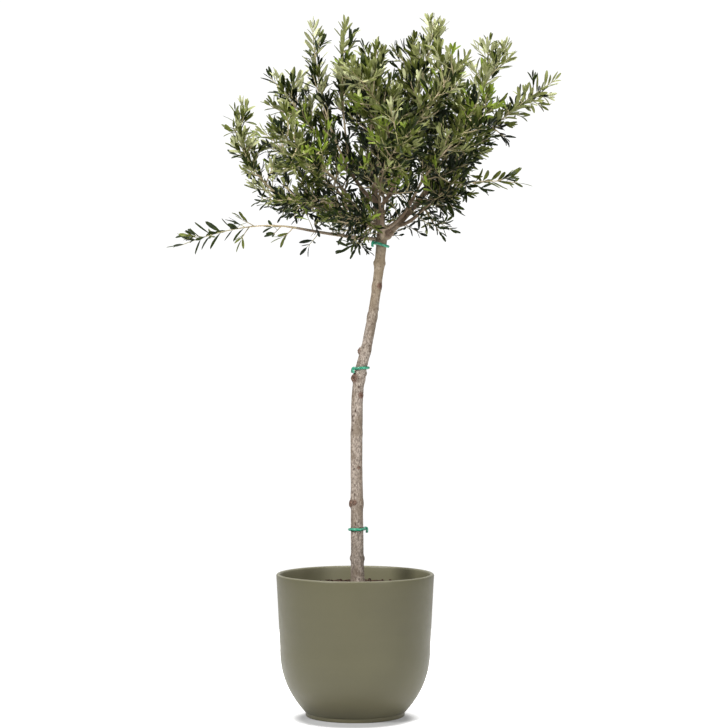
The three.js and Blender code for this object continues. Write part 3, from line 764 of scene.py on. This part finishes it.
def pot_radius(height):
    if height >= POT["waist_height"]:
        share = (height - POT["waist_height"]) / (POT["height"] - POT["waist_height"])
        return between((POT["waist"], POT["rim"]), share)
    drop = (POT["waist_height"] - height) / (POT["waist_height"] - POT["foot_height"])
    full = 1 - min(drop, 1) ** POT["full"]
    base = POT["foot"] + POT["step"]
    return base + (POT["waist"] - base) * full


def bowl_heights(low, steps):
    """Heights up the round bowl, closest together at its foot."""
    shares = [1 - math.cos(i / steps * math.pi / 2) for i in range(steps + 1)]
    return [between((low, POT["waist_height"]), share) for share in shares]


def make_pot():
    foot, step_top, wall, lip = POT["foot"], POT["foot_height"], POT["wall"], POT["wall"] / 2
    lip_height = POT["height"] - lip
    # recess under the pot, ring that it stands on, and foot
    rows = [(foot - 14, 2.5), (foot - 11, 2.2), (foot - 9, 0.6), (foot - 7.5, 0), (foot - 2, 0)]
    rows += [(foot - 0.4, 0.9), (foot, 2.4), (foot, step_top - 1.2), (foot + 0.8, step_top - 0.2)]
    # bowl, straight side, rounded lip, and back down inside
    outer = [*bowl_heights(step_top + 0.3, 18), *np.linspace(POT["waist_height"], lip_height, 9)[1:-1]]
    rows += [(pot_radius(h), h) for h in outer]
    for turn in np.arange(9) / 8 * math.pi:
        rows.append((POT["rim"] - lip + lip * math.cos(turn), lip_height + lip * math.sin(turn)))
    inner = [*np.linspace(POT["height"] - 3 * lip, POT["waist_height"], 7)]
    inner += reversed(bowl_heights(POT["floor"], 10)[:-1])
    rows += [(pot_radius(max(h, step_top + 6)) - wall, h) for h in inner]
    pot = turned("pot_glazed", rows, 128)
    smooth(pot, 35)
    return dress(pot, "glazed_pot", ["pot"], glaze_finish())


def make_soil():
    """Soil with a crumbly, gently mounded top, and loose crumbs on it."""
    draw = chance(SEED + 11)
    edge = pot_radius(SOIL_TOP - 5) - POT["wall"] - 0.8
    rows = [(edge - 2, 240), (edge, 262), (edge, 280)]
    for share in np.linspace(0.02, 0.97, 44):
        rows.append((edge * (1 - share), 283.7 + 3.2 * math.sin(share * math.pi / 2)))
    soil = turned("soil_top", rows, 150)
    for vertex in soil.data.vertices:
        spot = vertex.co
        if spot.z > 0.2795:
            lumps = noise.fractal(spot * 60, 0.8, 2.1, 5) * 2.2 + noise.cell(spot * 130) * 0.9
            vertex.co.z += lumps * MM
    crumbs = []
    for _ in range(CRUMBS):
        turn, reach = draw() * math.tau, edge * 0.97 * math.sqrt(draw())
        if reach > CRUMBS_FROM:
            crumbs.append((reach * math.cos(turn), reach * math.sin(turn), 1.2 + 3.2 * draw() ** 2))
    deselect()
    bpy.ops.mesh.primitive_ico_sphere_add(subdivisions=1, radius=1)
    model = bpy.context.object
    base = of_vertices(model.data, "co")
    sides = np.array([face.vertices[:] for face in model.data.polygons])
    bpy.data.objects.remove(model)
    points, faces = [], []
    for x, y, size in crumbs:
        rough = base * (0.7 + 0.6 * np.array([[draw()] for _ in base])) * size * np.array((1, 1, 0.7))
        faces.append(sides + len(base) * len(points))
        points.append(rough + (x, y, 285 + 2.8 * (1 - math.hypot(x, y) / edge)))
    loose = mesh_piece("crumbs", np.vstack(points), np.vstack(faces).tolist())
    soil = joined([soil, loose], "soil_top")
    smooth(soil, 50)
    return dress(soil, "soil", ["soil"], soil_finish())


# ---- Trunk, boughs and ties ----


def knot_place(height, azimuth, size, out):
    """A knot's middle on the trunk and the way that it faces."""
    at, radius, _ = trunk_at(height)
    turn = math.radians(azimuth)
    outward = np.array((math.cos(turn), math.sin(turn), 0.15))
    return at + outward * (radius * out - size * 0.25), unit(outward)


def make_lumps():
    """Knots, lips round the cuts, burls, swellings and collars, and where they scar the bark."""
    parts, scars = [], []
    for height, azimuth, size, out, pruned in KNOTS:
        centre, outward = knot_place(height, azimuth, size, out)
        parts.append(ball(centre, size))
        parts[-1].scale = (1.06, 1.06, 1.36)
        if pruned:
            deselect()
            bpy.ops.mesh.primitive_torus_add(
                major_segments=24,
                minor_segments=8,
                major_radius=size * 0.64 * MM,
                minor_radius=size * 0.27 * MM,
                location=(centre + outward * size * 0.72) * MM,
                rotation=Vector(outward).to_track_quat("Z", "Y").to_euler(),
            )
            parts.append(bpy.context.object)
            scars.append((centre + outward * size * 0.9, size))
    for height, azimuth, size in BURLS:
        centre, outward = knot_place(height, azimuth, size, BURL_OUT)
        parts.append(ball(centre, size))
        scars.append((centre + outward * size * 0.8, size * 0.9))
    for height, swell in SWELLINGS:
        line = [trunk_at(height + step)[0] for step in (-16, -8, 0, 8, 16)]
        radius = trunk_at(height)[1]
        rise = [radius - 0.5, radius + swell * 0.55]
        parts.append(tube(line, [*rise, radius + swell, *reversed(rise)], 6))
    parts += [ball(centre, radius, 20, 12) for centre, radius in COLLARS]
    return parts, scars


def relief_at(x, y, z):
    """The bark's long wrinkles and soft lumps, in millimetres, from a place in metres."""
    wrinkles = noise.fractal(Vector((x * 160, y * 160, z * 60)), 0.7, 2.0, 4) * 0.3
    return wrinkles + noise.noise(Vector((x * 40, y * 40, z * 26))) * 0.6


def make_bark():
    """Trunk, boughs and knots run together in one skin, with the bark's relief."""
    parts = [tube(trunk_line, [trunk_radius(share) for share in np.linspace(0, 1, len(trunk_line))], 6)]
    for name, (path, radius_at) in limbs.items():
        if name != "trunk":
            parts.append(tube(path, [radius_at(i / LIMB_STEPS) for i in range(LIMB_STEPS + 1)]))
    lumps, scars = make_lumps()
    bark = joined(parts + lumps, "bark_skin")
    modify(bark, "REMESH", mode="VOXEL", voxel_size=BARK_VOXEL * MM)
    modify(bark, "SMOOTH", factor=0.5, iterations=3)
    mesh = bark.data
    places, outward = of_vertices(mesh, "co"), of_vertices(mesh, "normal")
    relief = np.array([relief_at(*place) for place in places])
    on_trunk = distances(places / MM, LIMB_A[:LIMB_STEPS], LIMB_B[:LIMB_STEPS]).min(1) < 22
    places += outward * (relief * np.where(on_trunk, 1, 0.5) * MM)[:, None]
    places[:, 2] = np.maximum(places[:, 2], (SOIL_TOP - 5) * MM)
    scar = np.zeros(len(places))
    for centre, size in scars:
        near = np.linalg.norm(places / MM - centre, axis=1) / size
        mine = np.clip(1.45 - near, 0, 1)
        # rings of callus round the cut
        places += outward * (np.sin(near * size * 1.9) * np.minimum(mine * 3, 1) * 0.5 * MM)[:, None]
        scar = np.maximum(scar, mine)
    # where the trunk forks, the bark is pinched and brown
    near = np.linalg.norm(places / MM - FORK_SCAR, axis=1) / FORK_SCAR_SIZE
    scar = np.maximum(scar, np.clip(1.2 - near, 0, 0.5))
    mesh.vertices.foreach_set("co", places.ravel())
    mesh.attributes.new("scar", "FLOAT", "POINT").data.foreach_set("value", scar)
    mesh.update()
    smooth(bark, 60)
    return dress(bark, "bark", ["trunk"] + [f"bough_{row[0]}" for row in BOUGHS], trunk_finish())


def make_cuts():
    """The weathered ends of the pruned stubs, sunk inside their lips."""
    parts = []
    for height, azimuth, size, out, pruned in KNOTS:
        if pruned:
            centre, outward = knot_place(height, azimuth, size, out)
            line = [centre + outward * size * 0.8 + outward * step for step in (-1.6, 0.7, 1.3, 1.0)]
            parts.append(tube(line, [size * share for share in (0.5, 0.46, 0.3, 0.12)]))
    cuts = joined(parts, "pruned_ends")
    smooth(cuts, 40)
    return dress(cuts, "bark", ["trunk"], cut_finish())


def make_tie(name, height, fall, knot, finish):
    """A soft tube passed round the trunk, with its ends crossed in a small knot and cut short."""
    at, radius, _ = trunk_at(height)
    ring = radius + 0.3 + TIE_TUBE
    tilt = math.tan(math.radians(fall))
    start = math.radians(knot)

    def on_ring(turn, out, rise):
        x, y = (ring + out) * math.cos(turn), (ring + out) * math.sin(turn)
        return at + (x, y, rise - x * tilt)

    def bent(*places):
        return smooth_path([on_ring(start + turn, out, rise) for turn, out, rise in places], 12)

    turns = np.linspace(0, math.tau, 49)
    loop = [on_ring(start + turn, 0.2 * math.sin(3 * turn), 0.5 * math.sin(2 * turn)) for turn in turns]
    # the crossed ends, each as turn, distance out of the loop and rise
    over = bent((0.34, 0.3, 1.2), (0.18, 2.4, 2), (0, 4.6, 1.4), (-0.16, 5.2, -2.4), (-0.26, 5.2, -8.4))
    under = bent((-0.34, 0.3, -1), (-0.16, 2.2, 2.4), (0.06, 4.2, -0.6), (0.2, 5.4, -4.6), (0.26, 5.8, -9.8))
    parts = [tube(loop, [TIE_TUBE] * len(loop))]
    parts += [tube(line, [TIE_TUBE * 0.72] * len(line)) for line in (over, under)]
    tie = joined(parts, name + "_tube")
    smooth(tie, 50)
    return dress(tie, "tie", [name], finish)


# ---- Twigs and leaves ----


def leaf_pattern():
    """The faces of one leaf, its upper side and its underside, over its root, rows of corners and tip.

    A row's corners are the left edge, the upper rib, the right edge and the lower rib.
    """
    tip = 1 + 4 * len(LEAF_ROWS)
    rows = [[0] * 4] + [list(range(first, first + 4)) for first in range(1, tip, 4)] + [[tip] * 4]
    upper, lower = [], []
    for row, following in zip(rows, rows[1:]):
        upper += [(row[a], following[a], following[b], row[b]) for a, b in ((0, 1), (1, 2))]
        lower += [(row[b], row[a], following[a], following[b]) for a, b in ((3, 0), (2, 3))]
    # at the root and the tip two corners of a face are one
    return *[[tuple(dict.fromkeys(face)) for face in side] for side in (upper, lower)], tip + 1


def leaf_points(root, heading, normal, length, width, bend, fold, twist):
    """Corner points of many leaves at once."""
    across = np.cross(normal, heading)
    points = [root]
    for share, half in LEAF_ROWS:
        lean = (twist * (share - 0.3))[:, None]
        side = across * np.cos(lean) + normal * np.sin(lean)
        out = normal * np.cos(lean) - across * np.sin(lean)
        middle = root + heading * (share * length)[:, None]
        middle = middle + normal * (bend * length * share * share)[:, None]
        spread = (half * width / 2)[:, None]
        wing, raised = side * np.cos(fold)[:, None] * spread, out * np.sin(fold)[:, None] * spread
        rib = out * LEAF_THICKNESS / 2
        points += [middle - wing + raised, middle + rib, middle + wing + raised, middle - rib]
    points.append(root + heading * length[:, None] + normal * (bend * length)[:, None])
    return np.stack(points, axis=1)


def side_twigs(parent, count, bare, longest, lift, rule, mass, draw):
    """Twigs that leave their parent in a spiral by a rule, each as far as it has room."""
    paths = []
    for k in range(count):
        share = between((bare, rule["last"]), (k + rule["scatter"] * draw()) / count)
        turn = (k + rule["ahead"]) * GOLDEN_ANGLE + rule["spin"] * draw()
        length = longest * (1 - rule["taper"] * share) * (rule["least"] + rule["luck"] * draw())
        at, heading = along(parent, share)
        outward = leant(heading, sideways(heading, turn), between(rule["lean"], draw()))
        path = twig_path(at, outward, length, lift, draw, rule["sway"])
        paths.append(grown(path, rule["radius"], mass, rule["margin"]))
    return [path for path in paths if path is not None]


def grow():
    """Every twig by the same rule as the solids, and on to finer shoots: path, radii, mass and order."""
    twigs = []
    for mass, (name, _, _, _, spread, number, bare, lift) in enumerate(MASSES):
        stem = stems[name]
        draw = chance(SEED + 101 * mass)
        paths = side_twigs(stem, number, bare, spread, lift, TWIG_RULE, mass, draw)
        draw = chance(SEED + 313 * (mass + 1))
        more, rise = MORE_ON.get(name, (MORE_TWIGS, lift))
        spread *= NARROW.get(name, 1)
        paths += side_twigs(stem, more, bare, spread, rise, MORE_RULE, mass, draw)
        twigs.append((stem, STEM_RADII, mass, 0))
        twigs.extend((path, TWIG_RADII, mass, 1) for path in paths)
        carriers = [(stem, 0.1, spread * 0.72)] + [(path, 0.22, spread * 0.5) for path in paths]
        for parent, first, longest in carriers:
            count = int(length_of(parent) * (1 - first) / FINE_SPACING * SPARSE.get(name, 1))
            shoots = side_twigs(parent, count, first, longest, lift, FINE_RULE, mass, draw)
            twigs.extend((path, FINE_RADII, mass, 2) for path in shoots if length_of(path) > FINE_SHORTEST)
    return twigs + spurs()


def spurs():
    """Short leafy shoots that break from the boughs themselves, and hang longer where they droop."""
    draw = chance(SEED + 41)
    twigs = []
    for name, (limb, radius_at) in limbs.items():
        mass = next((i for i, row in enumerate(MASSES) if row[1] == name), None)
        if mass is None:
            continue
        spacing, lift = SPURS_ON.get(name, (SPUR_SPACING, SPUR_LIFT))
        first, longest = (0.22, 75) if lift > 0 else (0.12, 95)
        count = max(2, int(length_of(limb) / spacing))
        for k in range(count):
            share = between((first, 0.95), (k + 0.8 * draw()) / count)
            at, heading = along(limb, share)
            side = sideways(heading, k * GOLDEN_ANGLE + 80 * draw())
            outward = leant(heading, side, between((45, 80), draw()))
            length = between((35, longest), draw())
            path = twig_path(at + side * radius_at(share) * 0.7, outward, length, lift, draw)
            path = grown(path, FINE_RADII[0], mass, -OVER_SPUR, 5)
            if path is not None:
                twigs.append((path, FINE_RADII, mass, 2))
    return twigs


def place_leaves(twigs):
    """Opposite pairs of leaves along each twig, smaller near its tip and low down, and one at its end."""
    rows = []
    for number, (path, _, mass, order) in enumerate(twigs):
        draw = chance(SEED + 7 * number + 5)
        length = length_of(path)
        bare = BARE_SHARES[order]
        size_here, spacing = LOW_SPRAYS.get(MASSES[mass][0], (1, NODE_SPACING))
        usual = size_here * LEAF_LENGTH
        nodes = max(2, int(length * (1 - bare) / spacing))
        turn = 360 * draw()
        for k in range(nodes):
            share = between((bare, 0.985), (k + 0.5 + 0.3 * (draw() - 0.5)) / nodes)
            at, heading = along(path, share)
            young = max(0, 1 - (1 - share) * length / 34)
            for half in (0, 180):
                side = sideways(heading, turn + k * 90 + half + 24 * (draw() - 0.5))
                angle = between((50, 22), young) + 20 * (draw() - 0.5)
                sunny = min(1, max(0, (at[2] - 1130) / 260))
                size = usual * between((0.68, 1.0), sunny) * between((1.0, 0.6), young)
                size *= 0.72 + 0.48 * draw()
                row = (number, at, leant(heading, side, angle), heading, size, draw(), draw(), draw(), draw())
                if draw() > 0.1 * (1 - young):
                    rows.append(row)
        at, heading = along(path, 1.0)
        pointing = leant(heading, sideways(heading, 360 * draw()), 12)
        rows.append((number, at, pointing, heading, usual * 0.55, draw(), draw(), draw(), draw()))
    return rows


def make_foliage():
    """All leaves at once, dealt out to one piece for each tone, and the twigs that carry them."""
    twigs = grow()
    rows = place_leaves(twigs)
    owner = np.array([row[0] for row in rows])
    root, heading, stalk = (np.array([row[i] for row in rows]) for i in (1, 2, 3))
    heading += UP * 0.16
    heading /= np.linalg.norm(heading, axis=1)[:, None]
    length = np.array([row[4] for row in rows])
    luck = np.array([row[5:9] for row in rows])
    # a leaf's upper side faces its twig's tip and the sky
    normal = stalk - heading * (stalk * heading).sum(1)[:, None] + UP * (0.25 + 0.5 * luck[:, :1])
    normal += (luck[:, 1:4] - 0.5) * 1.2
    normal -= heading * (normal * heading).sum(1)[:, None]
    normal /= np.linalg.norm(normal, axis=1)[:, None]
    width = LEAF_WIDTH * (length / LEAF_LENGTH) ** 0.6 * (0.85 + 0.3 * luck[:, 3])
    bend = (luck[:, 2] - 0.62) * 0.34
    fold = np.radians(8 + 22 * luck[:, 1])
    twist = np.radians((luck[:, 0] - 0.5) * 70)
    points = leaf_points(root, heading, normal, length, width, bend, fold, twist)
    mass = np.array([twigs[i][2] for i in owner])
    low, high = np.array(cad_box) / MM
    keep = ((points > low - REACH) & (points < high + REACH)).all((1, 2))
    for m in range(len(MASSES)):
        mine = np.where(mass == m)[0]
        for at, room in ((points[mine, -1], 0), (points[mine, LEAF_MIDDLE], 1)):
            keep[mine] &= have_room(at, room, m, -OVER_LEAF)
    upper, lower, per_leaf = leaf_pattern()
    kinds = [0] * len(upper) + [1] * len(lower)
    tone_of = sprays_to_tones(twigs)
    names = [f"foliage_{row[0]}" for row in MASSES]
    for tone, (title, top, top_dark, under, under_dark) in enumerate(TONES):
        chosen = np.where(keep & (tone_of[owner] == tone))[0]
        starts = range(0, len(chosen) * per_leaf, per_leaf)
        faces = [tuple(start + corner for corner in face) for start in starts for face in upper + lower]
        piece = mesh_piece(f"leaves_{title}", points[chosen].reshape(-1, 3), faces, kinds * len(chosen))
        smooth(piece, 48)
        over = leaf_finish(f"leaf_{title}", top, top_dark, 0.42, 0.09)
        below = leaf_finish(f"leaf_{title}_underside", under, under_dark, 0.7, 0.06)
        dress(piece, "foliage", [names[m] for m in sorted(set(mass[chosen].tolist()))], over, below)
    make_twigs(twigs, names)


def sprays_to_tones(twigs):
    """Deals a tone to each spray: painted shade, deeper inside and low down; painted light, silvery outside,
    high up and to the left; a few young.
    """
    draw = chance(SEED + 17)
    tones = []
    for path, _, mass, order in twigs:
        x, y, z = path[-1]
        name = MASSES[mass][0]
        luck = draw() - 0.5
        if name in LOW_SPRAYS:
            pale = 0.03 + 0.6 * luck
        else:
            # painted shade and light: darker nearer the crown's heart and lower down, paler further out,
            # higher up and to the left
            pale = 0.55 * (math.dist((x, y, z), CROWN_HEART) / CROWN_SIZE - 0.65)
            pale += 0.43 * (z - CROWN_HEART[2]) / CROWN_SIZE - 0.05 * (x - CROWN_HEART[0]) / CROWN_SIZE
            pale += 1.05 * luck + PALER.get(name, 0)
        fresh = noise.noise(Vector((x, y, z)) / 90) + 0.5 * (draw() - 0.5)
        fresh += 0.3 * (math.dist((x, y, z), YOUNG_PATCH) < YOUNG_PATCH_SIZE)
        young = order == 2 and fresh > 0.4 and z > YOUNG_ABOVE
        tones.append(YOUNG if young else int(np.searchsorted(TONE_STEPS, pale)))
    return np.array(tones)


def make_twigs(twigs, names):
    """Stems and twigs as joined tapering tubes: pale bark on the old, green on the fine."""
    groups = {"stems": ([], [], 7), "shoots": ([], [], 5)}
    for path, radii, mass, order in twigs:
        points, faces, sides = groups["shoots" if order == 2 else "stems"]
        line, slim = (path, 1) if order == 2 else (smooth_path(path, 10), 0.84)
        taper = 0.4 if MASSES[mass][0] in LOW_SPRAYS else 1
        base = len(points) * sides
        turns = np.arange(sides)[:, None] / sides * math.tau
        last = len(line) - 1
        side = sideways(unit(line[1] - line[0]), 0)
        for i, at in enumerate(line):
            forward = unit(line[min(i + 1, last)] - line[max(i - 1, 0)])
            side = unit(side - forward * side.dot(forward))
            radius = between(radii, (i / last) ** taper) * slim
            points.append(at + radius * (np.cos(turns) * side + np.sin(turns) * np.cross(forward, side)))
        for ring in range(base, base + last * sides, sides):
            for j in range(sides):
                a, b = ring + j, ring + (j + 1) % sides
                faces.append((a, b, b + sides, a + sides))
        faces.append(tuple(reversed(range(base, base + sides))))
        faces.append(tuple(range(base + last * sides, base + (last + 1) * sides)))
    pale = bark_finish("twig_bark", (206, 190, 156), (154, 138, 110), (104, 78, 58), (160, 152, 116))
    green = bark_finish("shoot_bark", (186, 180, 132), (142, 136, 94), (116, 92, 66), (150, 150, 98))
    for title, finish in (("stems", pale), ("shoots", green)):
        points, faces, _ = groups[title]
        piece = mesh_piece(f"twigs_{title}", np.vstack(points), faces)
        smooth(piece, 60)
        dress(piece, "foliage", names, finish)


make_pot()
make_soil()
make_bark()
make_cuts()
tube_finish = tie_finish()
for tie in TIES:
    make_tie(*tie, tube_finish)
make_foliage()

# ---- Floor, light and camera ----

FLOOR_RADIUS = 1.5
# the middle of the painted contact shadow, a little in front of the pot's foot
FLOOR_MIDDLE = (-0.003, -0.045, 0)
# glow of the paper inside and outside the painted contact shadow, and where the shadow gives way
FLOOR_GLOW, FLOOR_GLOW_FROM = (0.14, 0.85), (0.111, 0.158)  # how strongly the paper glows, near and far
ROOM_LIGHT, WALL_LIGHT = 0.07, 1.05
CAMERA_LENS, CAMERA_PLACE = 112.75, (0, -5.05, 0.84)
CAMERA_DIP, CAMERA_TURN = 0.691, 0.221  # degrees down and to the right
# Soft lamps: name, place, target, size and power.
LAMPS = (
    ("key", (-2.4, -2.6, 3.2), (0, 0, 1.0), 1.1, 218),
    ("fill", (2.2, -3.0, 2.0), (0, 0, 0.9), 1.5, 98),
    ("top", (0.1, 0.2, 4.0), (0, 0, 1.0), 1.2, 156),
)


def make_floor():
    """A round sheet of white paper that glows evenly white towards its edge, with a painted contact shadow
    round the pot's foot.
    """
    deselect()
    bpy.ops.mesh.primitive_circle_add(vertices=128, radius=FLOOR_RADIUS, fill_type="NGON", location=(0, 0, 0))
    floor = bpy.context.object
    floor.name = "floor"
    paper = Finish("pale_paper", Roughness=0.9, Specular_IOR_Level=0.1, Emission_Strength=1)
    # how far out of the painted contact shadow round the pot's foot
    out_of_painted_shadow = paper.steps(paper.distance(FLOOR_MIDDLE), *FLOOR_GLOW_FROM)
    sheet = paper.mix(paper.noise(3, 2), (0.86, 0.86, 0.86, 1), (0.88, 0.88, 0.88, 1))
    # painted contact shadow: greyer paper near the foot
    tone = paper.mix(out_of_painted_shadow, (0.34, 0.34, 0.34, 1), sheet)
    # painted contact shadow: less glow near the foot, the paper glowing evenly white further out
    light = paper.mix(out_of_painted_shadow, *[(level, level, level, 1) for level in FLOOR_GLOW])
    floor.data.materials.append(paper.made_of(Base_Color=tone, Emission_Color=light))


def make_light():
    """A softly lit room whose wall is white behind the plant, and soft lamps."""
    world = bpy.data.worlds.new("studio")
    scene.world = world
    world.use_nodes = True
    tree = world.node_tree
    room, wall = tree.nodes["Background"], tree.nodes.new("ShaderNodeBackground")
    for white, strength in ((room, ROOM_LIGHT), (wall, WALL_LIGHT)):
        white.inputs["Color"].default_value = (1, 1, 1, 1)
        white.inputs["Strength"].default_value = strength
    seen = tree.nodes.new("ShaderNodeLightPath")
    straight = tree.nodes.new("ShaderNodeMath")
    straight.operation = "MAXIMUM"
    either = tree.nodes.new("ShaderNodeMixShader")
    for output, target in (
        (seen.outputs["Is Camera Ray"], straight.inputs[0]),
        (seen.outputs["Is Glossy Ray"], straight.inputs[1]),
        (straight.outputs[0], either.inputs[0]),
        (room.outputs[0], either.inputs[1]),
        (wall.outputs[0], either.inputs[2]),
        (either.outputs[0], tree.nodes["World Output"].inputs["Surface"]),
    ):
        tree.links.new(output, target)
    for name, place, target, size, power in LAMPS:
        light = bpy.data.lights.new(name, "AREA")
        light.shape, light.size, light.energy = "SQUARE", size, power
        lamp = bpy.data.objects.new(name, light)
        lamp.location = place
        lamp.rotation_mode = "QUATERNION"
        lamp.rotation_quaternion = (Vector(target) - Vector(place)).to_track_quat("-Z", "Y")
        scene.collection.objects.link(lamp)


def make_camera():
    camera = bpy.data.objects.new("camera", bpy.data.cameras.new("camera"))
    scene.collection.objects.link(camera)
    camera.data.lens = CAMERA_LENS
    camera.location = CAMERA_PLACE
    camera.rotation_euler = (math.radians(90 - CAMERA_DIP), 0, math.radians(-CAMERA_TURN))
    scene.camera = camera


make_floor()
make_light()
make_camera()
scene.view_settings.view_transform = "Standard"
